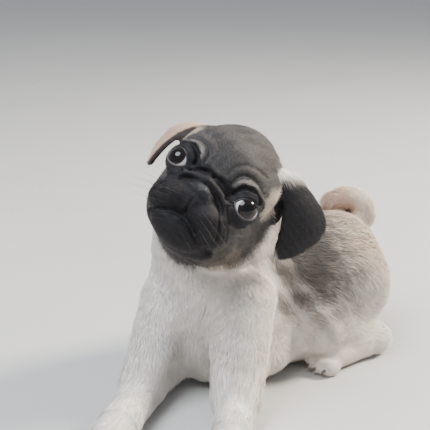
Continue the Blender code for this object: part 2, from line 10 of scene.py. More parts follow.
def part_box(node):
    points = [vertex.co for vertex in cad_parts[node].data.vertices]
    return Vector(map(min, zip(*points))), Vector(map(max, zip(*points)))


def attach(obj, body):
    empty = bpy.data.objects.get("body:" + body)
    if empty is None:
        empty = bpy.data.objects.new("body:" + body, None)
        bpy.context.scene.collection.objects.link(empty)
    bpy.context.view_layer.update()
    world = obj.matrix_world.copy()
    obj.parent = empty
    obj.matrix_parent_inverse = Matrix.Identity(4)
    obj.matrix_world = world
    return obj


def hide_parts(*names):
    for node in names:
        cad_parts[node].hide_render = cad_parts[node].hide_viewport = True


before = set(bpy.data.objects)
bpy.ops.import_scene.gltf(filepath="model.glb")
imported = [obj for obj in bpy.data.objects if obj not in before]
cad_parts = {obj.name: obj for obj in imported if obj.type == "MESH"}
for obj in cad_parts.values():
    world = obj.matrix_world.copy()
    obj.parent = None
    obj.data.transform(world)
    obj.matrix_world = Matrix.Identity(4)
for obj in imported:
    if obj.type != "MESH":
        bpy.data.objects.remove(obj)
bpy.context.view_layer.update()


# The skin. On the real animal one hide covers flesh and bone without a seam, loose enough to lie in folds
# over the nose, above the eyes and at the throat. Here the nodes of flesh are grown together into one hide,
# which is pressed and raised along the folds and then drawn in by the depth of the coat.
SKIN_GRAIN = 0.00164
JOIN_REACH = 0.0003
WELD_REACH = 0.00002
GROUND_GAP = 0.0004
EAR_NODES = ("ear_left", "ear_right")
PAW_NODES = ("fore_paw_left", "fore_paw_right", "hind_paw_left", "hind_paw_right")
# In centimetres: the coat's depth, how far the hide is drawn in behind the lids, and the lids' opening.
BODY_COAT_DEPTH = 0.17
EAR_COAT_DEPTH = 0.05
PAW_COAT_DEPTH = 0.08
BEHIND_OPENING = 0.78
OPENING_INNER = 0.77
OPENING_OUTER = 0.72
OPENING_UPPER = 0.56
OPENING_LOWER = 0.49
LIFT_OF_OPENING = 0.04

# The head is tilted to the dog's left and its nose is lifted, so what is on the face is given in the head's
# own axes, in centimetres from the middle of the skull: x to the dog's left, y back, z up.
HEAD_TURN = np.array(
    Matrix.Rotation(math.radians(3), 3, "Z")
    @ Matrix.Rotation(math.radians(-22), 3, "X")
    @ Matrix.Rotation(math.radians(34.5), 3, "Y")
)
EYE_RADIUS = 0.9
EYE_TURN = math.radians(27)
EYE_IN_HEAD = (2.4, -2.5, 0.6)

eye_middle = {}
for side, node in ((1, "eye_left"), (-1, "eye_right")):
    low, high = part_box(node)
    eye_middle[side] = 0.5 * (np.array(low) + np.array(high))
between_eyes = HEAD_TURN @ (np.array((0.0, EYE_IN_HEAD[1], EYE_IN_HEAD[2])) * 0.01)
HEAD_MIDDLE = 0.5 * (eye_middle[1] + eye_middle[-1]) - between_eyes


def from_head(point):
    """A point of the head's own axes, in centimetres, as a place in the scene."""
    return HEAD_MIDDLE + HEAD_TURN @ (np.array(point, float) * 0.01)


def in_head(places):
    """Places in the scene as points of the head's own axes, in centimetres."""
    return (places - HEAD_MIDDLE) @ HEAD_TURN * 100.0


def socket_turn(side):
    """The axes of an eye socket: x outwards across the face, -y out of the socket, z up."""
    turn = Matrix.Rotation(side * EYE_TURN, 3, "Z") @ Matrix.Rotation(-side * math.radians(6), 3, "Y")
    return HEAD_TURN @ np.array(turn)


def placed(name, data):
    """Puts a mesh, lamp or camera in the scene as an object."""
    made = bpy.data.objects.new(name, data)
    bpy.context.scene.collection.objects.link(made)
    return made


gathered = bmesh.new()
for name in sorted(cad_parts):
    part = bmesh.new()
    part.from_mesh(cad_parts[name].data)
    bmesh.ops.remove_doubles(part, verts=part.verts, dist=WELD_REACH)
    part.normal_update()
    for vertex in part.verts:
        vertex.co += vertex.normal * JOIN_REACH
    grown = bpy.data.meshes.new("grown")
    part.to_mesh(grown)
    part.free()
    gathered.from_mesh(grown)
    bpy.data.meshes.remove(grown)
skin_mesh = bpy.data.meshes.new("skin")
gathered.to_mesh(skin_mesh)
gathered.free()
skin = placed("skin", skin_mesh)
remesh = skin.modifiers.new("Grow together", "REMESH")
remesh.mode = "VOXEL"
remesh.voxel_size = SKIN_GRAIN
bpy.context.view_layer.update()
grown = bpy.data.meshes.new_from_object(skin.evaluated_get(bpy.context.evaluated_depsgraph_get()))
skin.modifiers.clear()
hide = bmesh.new()
hide.from_mesh(grown)
bpy.data.meshes.remove(grown)


def places_of(form):
    """The places of a bmesh's vertices, as rows."""
    return np.array([vertex.co[:] for vertex in form.verts])


def move(form, places):
    """Puts a bmesh's vertices at places."""
    for vertex, place in zip(form.verts, places):
        vertex.co = place


def normals_of(form):
    """The normals of a bmesh's vertices, worked out anew."""
    form.normal_update()
    return np.array([vertex.normal[:] for vertex in form.verts])


def relaxed(form, places, amount, rounds):
    """Evens out a surface without shrinking it; amount is how strongly at each vertex."""
    form.verts.index_update()
    edges = np.array([(edge.verts[0].index, edge.verts[1].index) for edge in form.edges])
    ends = np.concatenate((edges[:, 0], edges[:, 1]))
    others = np.concatenate((edges[:, 1], edges[:, 0]))
    count = np.maximum(np.bincount(ends, minlength=len(places)), 1)[:, None]
    for step in range(2 * rounds):
        push = 0.55 if step % 2 == 0 else -0.56
        around = np.stack([np.bincount(ends, places[others, axis], len(places)) for axis in range(3)], axis=1)
        places = places + push * amount[:, None] * (around / count - places)
    return places


def fade(value, low, high):
    """Goes smoothly from 0 at low to 1 at high."""
    share = np.clip((value - low) / (high - low), 0.0, 1.0)
    return share * share * (3.0 - 2.0 * share)


def keep_largest(form):
    """Drops every loose shell but the largest."""
    left = set(form.verts)
    shells = []
    while left:
        start = left.pop()
        shell = [start]
        waiting = [start]
        while waiting:
            for edge in waiting.pop().link_edges:
                for vertex in edge.verts:
                    if vertex in left:
                        left.discard(vertex)
                        shell.append(vertex)
                        waiting.append(vertex)
        shells.append(shell)
    shells.sort(key=len)
    for shell in shells[:-1]:
        bmesh.ops.delete(form, geom=shell, context="VERTS")


keep_largest(hide)


def box_share(places, margin, *nodes):
    """1 inside the nodes' boxes and fading to 0 at a margin outside them."""
    share = np.zeros(len(places))
    for node in nodes:
        low, high = (np.array(corner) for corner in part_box(node))
        outside = np.maximum(np.maximum(low - places, places - high), 0.0)
        share = np.maximum(share, 1.0 - fade(np.linalg.norm(outside, axis=1), 0.0, margin))
    return share


places = places_of(hide)
fine = box_share(places, 0.004, *EAR_NODES, *PAW_NODES)
smoothing = (1.0 - 0.45 * box_share(places, 0.006, "head")) * (1.0 - 0.75 * fine)
places = relaxed(hide, places, smoothing, 30)
move(hide, places)


def refine(form, chosen):
    """Halves the grid where chosen is true for both ends of an edge."""
    form.verts.index_update()
    edges = [edge for edge in form.edges if chosen[edge.verts[0].index] and chosen[edge.verts[1].index]]
    bmesh.ops.subdivide_edges(form, edges=edges, cuts=1, use_grid_fill=True)


head_places = in_head(places)
face = (head_places[:, 1] < -0.6) & (head_places[:, 2] > -4.3) & (head_places[:, 2] < 3.3)
face &= (np.abs(head_places[:, 0]) < 4.0) & (head_places[:, 1] > -5.5)
refine(hide, face)
places = places_of(hide)
near_eye = np.zeros(len(places), bool)
for side in (1, -1):
    near_eye |= np.linalg.norm(places - eye_middle[side], axis=1) < 0.0145
refine(hide, near_eye)
places = places_of(hide)
head_places = in_head(places)
face_share = fade(-head_places[:, 1], 0.2, 1.0) * box_share(places, 0.003, "head")
places = relaxed(hide, places, 0.9 * face_share, 5)
move(hide, places)
normals = normals_of(hide)
surface = BVHTree.FromBMesh(hide)


def curve_through(points, spacing):
    """A smooth line through points, sampled about every spacing."""
    points = np.array(points, float)
    padded = np.concatenate((2 * points[:1] - points[1:2], points, 2 * points[-1:] - points[-2:-1]))
    line = []
    for a, b, c, d in zip(padded, padded[1:], padded[2:], padded[3:]):
        count = max(2, int(np.linalg.norm(c - b) / spacing))
        for share in np.arange(count) / count:
            line.append(
                0.5 * (2 * b + (c - a) * share + (2 * a - 5 * b + 4 * c - d) * share**2
                       + (3 * b - a - 3 * c + d) * share**3)
            )
    line.append(points[-1])
    return np.array(line)


def on_face(points, side=1):
    """A line drawn on the front of the face from its points across (x) and up (z), laid on the skin."""
    line = []
    forward = Vector(HEAD_TURN @ np.array((0.0, 1.0, 0.0)))
    for x, z in curve_through(points, 0.08):
        hit, _, _, _ = surface.ray_cast(Vector(from_head((side * x, -12.0, z))), forward)
        if hit is not None:
            line.append(hit[:])
    return np.array(line)


def off_axis(side, about, off):
    """The way out of an eye at angles round the socket (0 outwards, 90 degrees up) and off its axis."""
    way = (side * math.cos(about) * math.sin(off), -math.cos(off), math.sin(about) * math.sin(off))
    return socket_turn(side) @ np.array(way)


def round_eye(side, points):
    """A line round an eye from its angles about the socket (0 outwards, 90 up) and from the socket's axis."""
    line = []
    for about, off in curve_through(points, 4.0):
        way = off_axis(side, math.radians(about), math.radians(off))
        hit, _, _, _ = surface.ray_cast(Vector(eye_middle[side] + 0.03 * way), Vector(-way))
        if hit is not None:
            line.append(hit[:])
    return np.array(line)


def through_head(points):
    """A line through points of the head's own axes."""
    return np.array([from_head(point) for point in curve_through(points, 0.2)])


def off_path(points, path):
    """Distance of each point from a line of straight stretches, in the points' own unit."""
    path = np.array(path, float)
    nearest = np.full(len(points), 1e9)
    for start, way in zip(path, path[1:] - path[:-1]):
        share = np.clip((points - start) @ way / max(float(way @ way), 1e-12), 0.0, 1.0)
        nearest = np.minimum(nearest, np.linalg.norm(points - start - share[:, None] * way, axis=1))
    return nearest


# Each fold is a line, how far it reaches sideways and how high it stands (negative for a crease), in cm.
# Those of FACE_FOLDS lie on both halves of the face: at the mouth, over the nose, under and over the eyes.
BROW_LINE = ((2.85, 1.7), (2.25, 1.98), (1.7, 1.93), (1.38, 1.6), (1.3, 1.2))
OUTER_BROW_LINE = ((2.9, 2.0), (2.2, 2.30), (1.5, 2.26), (1.12, 1.9), (1.02, 1.35))
FACE_FOLDS = (
    (((0.1, -1.9), (0.45, -1.97), (0.85, -2.14), (1.3, -2.4), (1.85, -2.66), (2.25, -2.95)), 0.10, -0.16),
    (((0.0, -2.2), (0.5, -2.27), (0.9, -2.45), (1.35, -2.7), (1.8, -2.95)), 0.18, 0.06),
    (((0.0, 0.36), (0.6, 0.30), (1.1, 0.05), (1.62, -0.35), (2.05, -0.85), (2.35, -1.4), (2.5, -2.0)),
     0.10, -0.20),
    (((0.0, 0.66), (0.69, 0.58), (1.3, 0.3), (1.85, -0.15), (2.3, -0.7), (2.65, -1.4)), 0.17, 0.07),
    (((0.0, 1.0), (0.6, 0.93), (1.1, 0.72), (1.5, 0.42)), 0.13, -0.20),
    (((0.0, 1.32), (0.6, 1.25), (1.0, 1.05)), 0.16, 0.06),
    (((1.72, 0.08), (2.0, -0.25), (2.35, -0.48), (2.75, -0.58), (3.05, -0.35)), 0.10, -0.13),
    (((1.9, -0.5), (2.3, -0.78), (2.75, -0.88), (3.1, -0.7)), 0.12, -0.07),
    (BROW_LINE, 0.13, 0.06),
    (OUTER_BROW_LINE, 0.08, -0.12),
    (((2.6, 2.5), (1.9, 2.58), (1.25, 2.46), (0.87, 2.03), (0.8, 1.5)), 0.17, 0.04),
    (((2.4, 2.9), (1.7, 2.9), (1.05, 2.68), (0.65, 2.2), (0.58, 1.7)), 0.10, -0.05),
    (((2.3, -2.95), (2.85, -2.3), (3.05, -1.6)), 0.14, -0.10),
    (((0.17, -0.95), (0.15, -1.4), (0.35, -1.8)), 0.15, 0.06),
)
folds = []
for side in (1, -1):
    folds += [(on_face(points, side), reach, height) for points, reach, height in FACE_FOLDS]
    folds.append((round_eye(side, ((50, 60), (85, 62), (115, 66), (140, 72), (158, 76))), 0.11, -0.22))
folds += [
    (on_face(((0.0, -0.7), (0.0, -1.2), (0.0, -1.8))), 0.07, -0.10),
    (on_face(((0.0, 1.1), (-0.06, 1.9), (-0.1, 2.7))), 0.22, -0.06),
    (through_head([(0.2, -0.9, -4.6), (1.54, 0.17, -4.29), (2.83, 0.67, -4.08), (3.51, 1.0, -3.47),
                   (4.4, 2.2, -1.8)]), 0.25, -0.30),
    (through_head([(-0.5, -0.2, -5.2), (0.9, 0.3, -5.1), (2.4, 0.9, -4.75), (3.6, 1.5, -4.1),
                   (4.7, 2.6, -2.5)]), 0.35, 0.16),
]
raised = np.zeros(len(places))
for line, reach, height in folds:
    near = np.all((places > line.min(axis=0) - 0.01) & (places < line.max(axis=0) + 0.01), axis=1)
    raised[near] += height * 0.01 * np.exp(-((off_path(places[near], line) * 100.0 / reach) ** 2))
places = relaxed(hide, places + normals * raised[:, None], 0.5 * face_share, 1)


def opening_edge(turned):
    """The edge of the lids' opening across (outwards) and up, in cm, for an angle round it."""
    across = np.cos(turned)
    across = np.where(across > 0, OPENING_OUTER, OPENING_INNER) * across
    up = np.sin(turned)
    up = np.where(up > 0, OPENING_UPPER, OPENING_LOWER) * np.sign(up) * np.abs(up) ** 1.2
    return across, up + LIFT_OF_OPENING


def opening_angle(about):
    """How far off the socket's axis the opening reaches, for directions round the eye."""
    turned = np.linspace(-math.pi, math.pi, 361)
    across, up = opening_edge(turned)
    edge_about = np.arctan2(up, across)
    off = np.arcsin(np.hypot(across, up) / EYE_RADIUS)
    order = np.argsort(edge_about)
    return np.interp(about, edge_about[order], off[order], period=2 * math.pi)


def round_socket(places, side):
    """How far places lie from an eye's middle, in cm, and their angles off the socket's axis and round it."""
    local = (places - eye_middle[side]) @ socket_turn(side) * 100.0
    far = np.maximum(np.linalg.norm(local, axis=1), 1e-9)
    return far, np.arccos(np.clip(-local[:, 1] / far, -1.0, 1.0)), np.arctan2(local[:, 2], local[:, 0] * side)


# Behind the opening the hide is drawn back past the eyeball; elsewhere it goes in by the coat's depth.
head_share = box_share(places, 0.004, "head")
head_places = in_head(places)
depth = BODY_COAT_DEPTH - 0.06 * head_share - 0.05 * head_share * fade(-head_places[:, 1], 0.5, 2.6)
depth = depth + (EAR_COAT_DEPTH - depth) * box_share(places, 0.002, *EAR_NODES)
depth = depth + (PAW_COAT_DEPTH - depth) * box_share(places, 0.004, *PAW_NODES)
move(hide, places)
places = places - normals_of(hide) * (depth * 0.01)[:, None]
for side in (1, -1):
    far, off, about = round_socket(places, side)
    target = np.where((off < opening_angle(about) + 0.10) & (far < 1.6), BEHIND_OPENING / far, 1.0)
    places = eye_middle[side] + (places - eye_middle[side]) * target[:, None]
places[:, 2] = np.maximum(places[:, 2], GROUND_GAP)
move(hide, places)
bmesh.ops.triangulate(hide, faces=hide.faces)
bmesh.ops.recalc_face_normals(hide, faces=hide.faces)
hide.to_mesh(skin_mesh)
hide.free()
skin_mesh.polygons.foreach_set("use_smooth", np.ones(len(skin_mesh.polygons), bool))


def in_egg(points, centre, radii):
    """1 at an egg's skin, less inside it and more outside."""
    return np.linalg.norm((points - np.array(centre)) / np.array(radii), axis=1)


def inside(points, centre, radii, low, high, ragged=0.0):
    """1 inside an egg, fading to 0 from low to high times its size."""
    return 1.0 - fade(in_egg(points, centre, radii) + ragged, low, high)


def beside(points, path, low, high, ragged=0.0):
    """1 on a line, fading to 0 from low to high away from it."""
    return 1.0 - fade(off_path(points, path) + ragged, low, high)


HEAD_EGG = ((0.0, -0.6, 0.1), (4.6, 5.0, 5.1))
PELVIS_WAY = np.array((0.77, 0.64, 0.0))
CHEST_BACK = np.array((-1.6, 3.1, 0.0))
EAR_MARGIN = ((-1.7, -0.75, 3.4), (-2.7, -1.1, 3.3), (-3.35, -1.5, 2.35), (-3.75, -1.7, 1.35),
              (-4.0, -1.6, 0.35), (-4.2, -0.9, -0.95))


def markings_and_painted_light(places):
    """How black the coat is, how grizzled with black hairs, and how warm its pale colour is, at each place,
    with painted light mixed in: shade and a highlight on the brow, shade behind the left ear, sunlight on the
    rump and tail, cool shade on the chest.
    """
    own = in_head(places)
    head = np.column_stack((np.abs(own[:, 0]), own[:, 1:]))
    plan = head[:, [0, 2]]
    wave = 0.12 * np.sin(places @ (310.0, 190.0, 250.0)) + 0.1 * np.sin(places @ (-420.0, 520.0, 160.0))
    front = 1.0 - fade(head[:, 1], -2.4, -1.4)
    eye = np.linalg.norm(head - np.array(EYE_IN_HEAD), axis=1)
    black = np.maximum.reduce((
        inside(head, (0.0, -3.7, -1.65), (2.85, 2.7, 2.45), 1.0, 1.2, 0.5 * wave),
        inside(head, (0.0, -2.3, -2.9), (2.55, 2.6, 1.75), 0.88, 1.16, 0.5 * wave),
        1.0 - fade(eye + 0.25 * wave, 1.16, 1.55),
        front * beside(plan, ((0.0, 0.5), (1.35, 0.55), (1.9, 0.1)), 0.8, 1.1, wave),
        front * beside(plan, ((2.7, 1.5), (2.2, 1.72), (1.72, 1.5), (1.5, 0.95)), 0.22, 0.42),
        0.75 * front * beside(plan, ((2.3, -0.9), (2.75, -1.6), (2.95, -2.3)), 0.2, 0.8),
        0.85 * inside(head, (1.9, -2.0, -2.5), (2.0, 2.0, 1.7), 0.75, 1.2, 0.8 * wave),
    ))

    on_head = inside(head, *HEAD_EGG, 0.94, 1.12)
    thumb = beside(plan, ((0.0, 1.1), (0.3, 1.7), (0.7, 2.4)), 0.25, 0.8)
    # Along the brow the raised ridge is painted lighter as a highlight, and the crease above it is painted
    # darker as shade.
    ring = beside(plan, BROW_LINE, 0.06, 0.2)
    brow_crease_shade = beside(plan, OUTER_BROW_LINE, 0.08, 0.22)
    cheek = inside(head, (3.55, -0.8, 1.8), (1.0, 1.9, 1.25), 0.55, 1.15, wave)
    jaw = inside(head, (3.2, -0.4, -2.9), (1.8, 2.4, 1.6), 0.6, 1.15)
    throat = fade(in_egg(head, (0.0, -1.4, -2.3), (3.4, 3.0, 2.7)), 1.02, 1.2) * fade(-head[:, 2], 2.6, 3.6)
    sable_head = 0.97 - 0.25 * fade(head[:, 1], 0.6, 3.6) + 0.1 * fade(wave, 0.0, 0.18)
    sable_head = sable_head + front * (0.1 * thumb - 0.16 * ring + 0.25 * brow_crease_shade) - 0.62 * cheek - 0.1 * jaw
    back = (places * 100.0 - CHEST_BACK) @ (0.10, 0.083, 0.0)
    height = places[:, 2] * 100.0
    tail = box_share(places, 0.002, "tail")
    saddle = fade(height + 3.0 * wave, 2.6, 7.4) * (1.0 - 0.62 * fade(back + 0.4 * wave, 0.55, 1.15))
    saddle = 0.97 * saddle * fade(places[:, 1] * 100.0 + 4.0 * wave, -1.0, 2.2) * (1.0 - 0.8 * tail)
    sable = on_head * sable_head * (1.0 - throat) + (1.0 - on_head) * saddle

    # The added warmth on top of the rump is painted warm sunlight over the coat's own fawn.
    warm = 0.24 + 0.3 * wave + 0.5 * fade(back, 0.6, 1.0) * fade(height, 6.0, 9.0) - 0.12 * on_head
    # The tail's loop is painted warmer on the side the sun lights and paler on the other side, as painted
    # sunlight over its own fawn.
    rings = in_egg(places * 100.0, (3.6, 9.9, 10.4), (1.9, 1.6, 2.4))
    warm = warm + 0.35 * tail * (1.0 - fade(rings, 0.8, 1.4)) - 0.25 * tail * fade(rings, 1.0, 1.6)
    # The chest is painted less warm on the dog's right side as cool shade.
    chest = fade(-places[:, 1] * 100.0, 0.0, 2.5) * (1.0 - on_head)
    warm = warm + 0.45 * on_head * np.maximum(cheek, jaw) - 0.16 * chest * fade(-places[:, 0] * 100.0, 0.0, 4.0)

    ear_local = (places - HEAD_MIDDLE) * 100.0
    left_ear = box_share(places, 0.0015, "ear_left")
    left_ear = left_ear * fade(ear_local[:, 0] + 0.25 * (ear_local[:, 2] + 2.0), 3.4, 3.9)
    right_ear = box_share(places, 0.0015, "ear_right") * fade(-own[:, 0] - 0.15 * own[:, 2], 2.1, 2.6)
    either_ear = np.maximum(left_ear, right_ear)
    # The slit behind the left ear's front edge, between ear and head, is painted black as shade.
    hollow = inside(ear_local, (4.15, 0.7, -0.2), (0.62, 1.0, 1.9), 0.7, 1.0)
    rim = 1.0 - fade(np.abs(ear_local[:, 1] + 0.35), 0.1, 0.45)
    root = fade(ear_local[:, 2] + 0.3 * ear_local[:, 1], 0.9, 2.0)
    black = np.maximum.reduce((
        np.maximum(black, 0.9 * hollow) * (1.0 - either_ear),
        left_ear * (1.0 - 0.05 * rim) * (1.0 - 0.95 * root),
        0.9 * right_ear * beside(own, EAR_MARGIN, 0.3, 0.7),
        0.9 * right_ear * fade(-own[:, 2], 0.1, 1.0),
    ))
    sable = sable * (1.0 - left_ear) * (1.0 - right_ear) + 0.12 * right_ear
    warm = warm * (1.0 - either_ear) + right_ear
    return np.clip(1.06 * black, 0.0, 1.0), np.clip(sable, 0.0, 1.0), np.clip(warm, 0.0, 1.0)


class Value:
    """An output in a material. Arithmetic on it adds Math nodes."""

    def __init__(self, material, socket):
        self.material = material
        self.socket = socket

    def math(self, operation, first, second):
        return self.material.node("ShaderNodeMath", {"operation": operation}, {0: first, 1: second})

    def __add__(self, other):
        return self.math("ADD", self, other)

    def __radd__(self, other):
        return self.math("ADD", other, self)

    def __sub__(self, other):
        return self.math("SUBTRACT", self, other)

    def __rsub__(self, other):
        return self.math("SUBTRACT", other, self)

    def __mul__(self, other):
        return self.math("MULTIPLY", self, other)

    def __rmul__(self, other):
        return self.math("MULTIPLY", other, self)


class Finish:
    """A new material with its Principled shader."""

    def __init__(self, name, **constants):
        self.made = bpy.data.materials.new(name)
        self.made.use_nodes = True
        self.tree = self.made.node_tree
        self.shader = self.tree.nodes["Principled BSDF"]
        for socket, value in constants.items():
            self.shader.inputs[socket.replace("_", " ")].default_value = value

    def node(self, kind, settings=None, sockets=None, output=0):
        """Adds a node, gives it its settings and a ramp its stops, then fills or links its sockets."""
        made = self.tree.nodes.new(kind)
        for key, value in (settings or {}).items():
            if key == "stops":
                while len(made.color_ramp.elements) < len(value):
                    made.color_ramp.elements.new(0.5)
                for element, (place, colour) in zip(made.color_ramp.elements, value):
                    element.position = place
                    element.color = colour
            else:
                setattr(made, key, value)
        for key, value in (sockets or {}).items():
            if isinstance(value, Value):
                self.tree.links.new(value.socket, made.inputs[key])
            else:
                made.inputs[key].default_value = value
        return Value(self, made.outputs[output])

    def place(self):
        """The point of the object that is shaded."""
        return self.node("ShaderNodeTexCoord", output="Object")

    def attribute(self, name):
        """A number that each vertex of the mesh carries."""
        return self.node("ShaderNodeAttribute", {"attribute_name": name}, output="Fac")

    def noise(self, where, scale, detail=3.0):
        return self.node("ShaderNodeTexNoise", None, {"Vector": where, "Scale": scale, "Detail": detail})

    def ramp(self, value, low, high, first=0.0, second=1.0):
        """Takes low to first and high to second, and holds outside."""
        return self.node(
            "ShaderNodeMapRange", None,
            {"Value": value, "From Min": low, "From Max": high, "To Min": first, "To Max": second},
        )

    def mix(self, share, first, second):
        return self.node("ShaderNodeMix", {"data_type": "RGBA"}, {0: share, 6: first, 7: second}, output=2)

    def bump(self, height, strength, distance):
        return self.node("ShaderNodeBump", None, {"Height": height, "Strength": strength, "Distance": distance})

    def to(self, socket, value):
        self.tree.links.new(value.socket, self.shader.inputs[socket])


WHITE_HAIR = (0.87, 0.84, 0.80, 1.0)
FAWN_HAIR = (0.72, 0.55, 0.39, 1.0)
BLACK_HAIR = (0.013, 0.013, 0.016, 1.0)
PINK_HAIR = (0.70, 0.46, 0.38, 1.0)
UMBER_HAIR = (0.050, 0.043, 0.042, 1.0)


def coat_finish(name, roughness, sheen):
    """Hair colour from the markings and the painted light mixed in with them: pale to fawn by warm, black by
    dark, each hair a little different.
    """
    finish = Finish(name, Specular_IOR_Level=0.14, Sheen_Weight=sheen, Sheen_Roughness=0.4)
    where = finish.place()
    tone = finish.attribute("tone")
    drift = finish.noise(where, 60.0)
    warm = finish.attribute("warm") + 0.35 * (drift - 0.5)
    pale = finish.mix(warm, WHITE_HAIR, FAWN_HAIR)
    pale = finish.mix(finish.ramp(warm, 0.75, 1.1), pale, PINK_HAIR)
    shaded = finish.node(
        "ShaderNodeMix", {"data_type": "RGBA", "blend_type": "MULTIPLY"},
        {0: finish.ramp(tone, 0.0, 1.0, 0.4, 0.0), 6: pale, 7: (0.55, 0.47, 0.40, 1.0)}, output=2,
    )
    black = finish.mix(finish.ramp(tone, 0.3, 1.0), BLACK_HAIR, UMBER_HAIR)
    finish.to("Base Color", finish.mix(finish.attribute("dark"), shaded, black))
    finish.to("Roughness", finish.ramp(finish.noise(where, 900.0), 0.3, 0.7, roughness - 0.08, roughness + 0.1))
    return finish


def write_attribute(mesh, name, values):
    """Gives each vertex of a mesh a number that its material reads."""
    mesh.attributes.new(name, "FLOAT", "POINT").data.foreach_set("value", values.astype(np.float32))


SKIN_SABLE = 0.97
SKIN_TONE = 0.35

skin_finish = coat_finish("hide", 0.62, 0.01)
skin_where = skin_finish.place()
streaks = skin_finish.noise(skin_where, 1400.0, 2.0)
pores = skin_finish.noise(skin_where, 320.0, 4.0)
skin_finish.to("Normal", skin_finish.bump(streaks + 1.5 * pores, 0.5, 0.0005))
skin_mesh.materials.clear()
skin_mesh.materials.append(skin_finish.made)
skin_places = np.array([vertex.co[:] for vertex in skin_mesh.vertices])
black, sable, warm = markings_and_painted_light(skin_places)
write_attribute(skin_mesh, "dark", np.maximum(black, SKIN_SABLE * sable))
write_attribute(skin_mesh, "warm", warm)
write_attribute(skin_mesh, "tone", SKIN_TONE + 0.1 * np.sin(skin_places @ (900.0, 700.0, 800.0)))

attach(skin, "root")
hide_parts(*[name for name in sorted(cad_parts) if name not in ("eye_left", "eye_right", "nose")])


# The eyeballs. Each is a full ball with a clear cornea standing a little proud of it over a very dark brown
# iris, and a white that shows as a crescent towards the nose. They are wet, so they have a hard clear gloss.
CORNEA_REACH = 0.64
CORNEA_RISE = 0.05
IRIS_RADIUS = 0.61
PUPIL_RADIUS = 0.30
GAZE_LIFT = math.radians(7)


def along(finish, local, axis):
    """How far a point lies along an axis, in centimetres, as a value of a material."""
    spread = tuple(axis * 100.0)
    return finish.node("ShaderNodeVectorMath", {"operation": "DOT_PRODUCT"}, {0: local, 1: spread}, "Value")


def finished(name, form, finish):
    """Turns a bmesh into a smooth piece of the dog."""
    bmesh.ops.recalc_face_normals(form, faces=form.faces)
    mesh = bpy.data.meshes.new(name)
    form.to_mesh(mesh)
    form.free()
    mesh.polygons.foreach_set("use_smooth", np.ones(len(mesh.polygons), bool))
    mesh.materials.append(finish.made)
    piece = placed(name, mesh)
    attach(piece, "root")
    return piece


for side, hand in ((1, "left"), (-1, "right")):
    ball = bmesh.new()
    turn = socket_turn(side) @ np.array(Matrix.Rotation(-GAZE_LIFT, 3, "X"))
    upright = np.array(Matrix.Rotation(math.radians(90), 3, "X"))
    bmesh.ops.create_uvsphere(ball, u_segments=96, v_segments=64, radius=EYE_RADIUS)
    for vertex in ball.verts:
        place = np.array(vertex.co)
        off = math.hypot(place[0], place[1])
        if place[2] > 0.0 and off < CORNEA_REACH:
            place = place * (1.0 + CORNEA_RISE / EYE_RADIUS * (1.0 - (off / CORNEA_REACH) ** 2))
        vertex.co = eye_middle[side] + turn @ (upright @ place) * 0.01

    finish = Finish("eye " + hand, Coat_Weight=1.0, Coat_Roughness=0.02, Coat_IOR=1.4, Specular_IOR_Level=0.0)
    where = finish.place()
    middle = tuple(eye_middle[side])
    local = finish.node("ShaderNodeVectorMath", {"operation": "SUBTRACT"}, {0: where, 1: middle})
    across, up, ahead = (along(finish, local, axis) for axis in (turn[:, 0], turn[:, 2], -turn[:, 1]))
    off = finish.node("ShaderNodeMath", {"operation": "SQRT"}, {0: across * across + up * up})
    about = finish.node("ShaderNodeMath", {"operation": "ARCTAN2"}, {0: up, 1: across})
    spokes = finish.node("ShaderNodeCombineXYZ", None, {"X": 3.0 * off, "Y": 9.0 * about, "Z": 0.0})
    fibre = finish.noise(spokes, 2.2, 4.0)
    ragged = off + 0.03 * (finish.noise(where, 900.0) - 0.5)
    iris = finish.mix(finish.ramp(fibre, 0.35, 0.7), (0.003, 0.002, 0.002, 1.0), (0.011, 0.006, 0.004, 1.0))
    iris_rim = finish.ramp(off, IRIS_RADIUS - 0.13, IRIS_RADIUS - 0.01)
    iris = finish.mix(iris_rim, iris, (0.006, 0.005, 0.006, 1.0))
    iris = finish.mix(finish.ramp(ragged, PUPIL_RADIUS, PUPIL_RADIUS + 0.03), (0.001, 0.001, 0.0015, 1.0), iris)
    veins = finish.ramp(finish.noise(where, 420.0, 6.0), 0.56, 0.66)
    white = finish.mix(0.5 * veins, (0.50, 0.49, 0.53, 1.0), (0.40, 0.24, 0.24, 1.0))
    white = finish.mix(finish.ramp(off, 0.72, 0.86), white, (0.20, 0.12, 0.11, 1.0))
    front = finish.ramp(ahead, -0.05, 0.05)
    edge = finish.ramp(ragged, IRIS_RADIUS - 0.015, IRIS_RADIUS + 0.03)
    finish.to("Base Color", finish.mix(front * (1.0 - edge), white, iris))
    finish.to("Roughness", finish.ramp(edge, 0.0, 1.0, 0.3, 0.45))
    eyeball = finished("eyeball_" + hand, ball, finish)
    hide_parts("eye_" + hand)


# The eyelids. The rim of each lid is a hairless, damp roll of dark skin that lies on the eyeball; away from
# the opening it thins out and goes under the hide. A small pink lump sits in the corner by the nose.
LID_ROWS = ((-0.01, -0.12), (-0.02, -0.01), (-0.015, 0.02), (0.005, 0.045), (0.035, 0.06), (0.08, 0.07),
            (0.14, 0.07), (0.21, 0.05), (0.28, 0.01), (0.36, -0.08))
LID_SEGMENTS = 96
LID_THICKNESS = 0.0003
CORNER_HALF = (0.0011, 0.0008, 0.0009, 1.0)


def lid_place(side, turned, beyond, height):
    """A place on a lid: beyond the opening's edge by some centimetres, and so high over the eyeball."""
    across, up = opening_edge(np.array(turned))
    about = math.atan2(up, across)
    off = math.asin(min(math.hypot(across, up) / EYE_RADIUS, 0.999)) + beyond / EYE_RADIUS
    return eye_middle[side] + off_axis(side, about, off) * (EYE_RADIUS + height) * 0.01


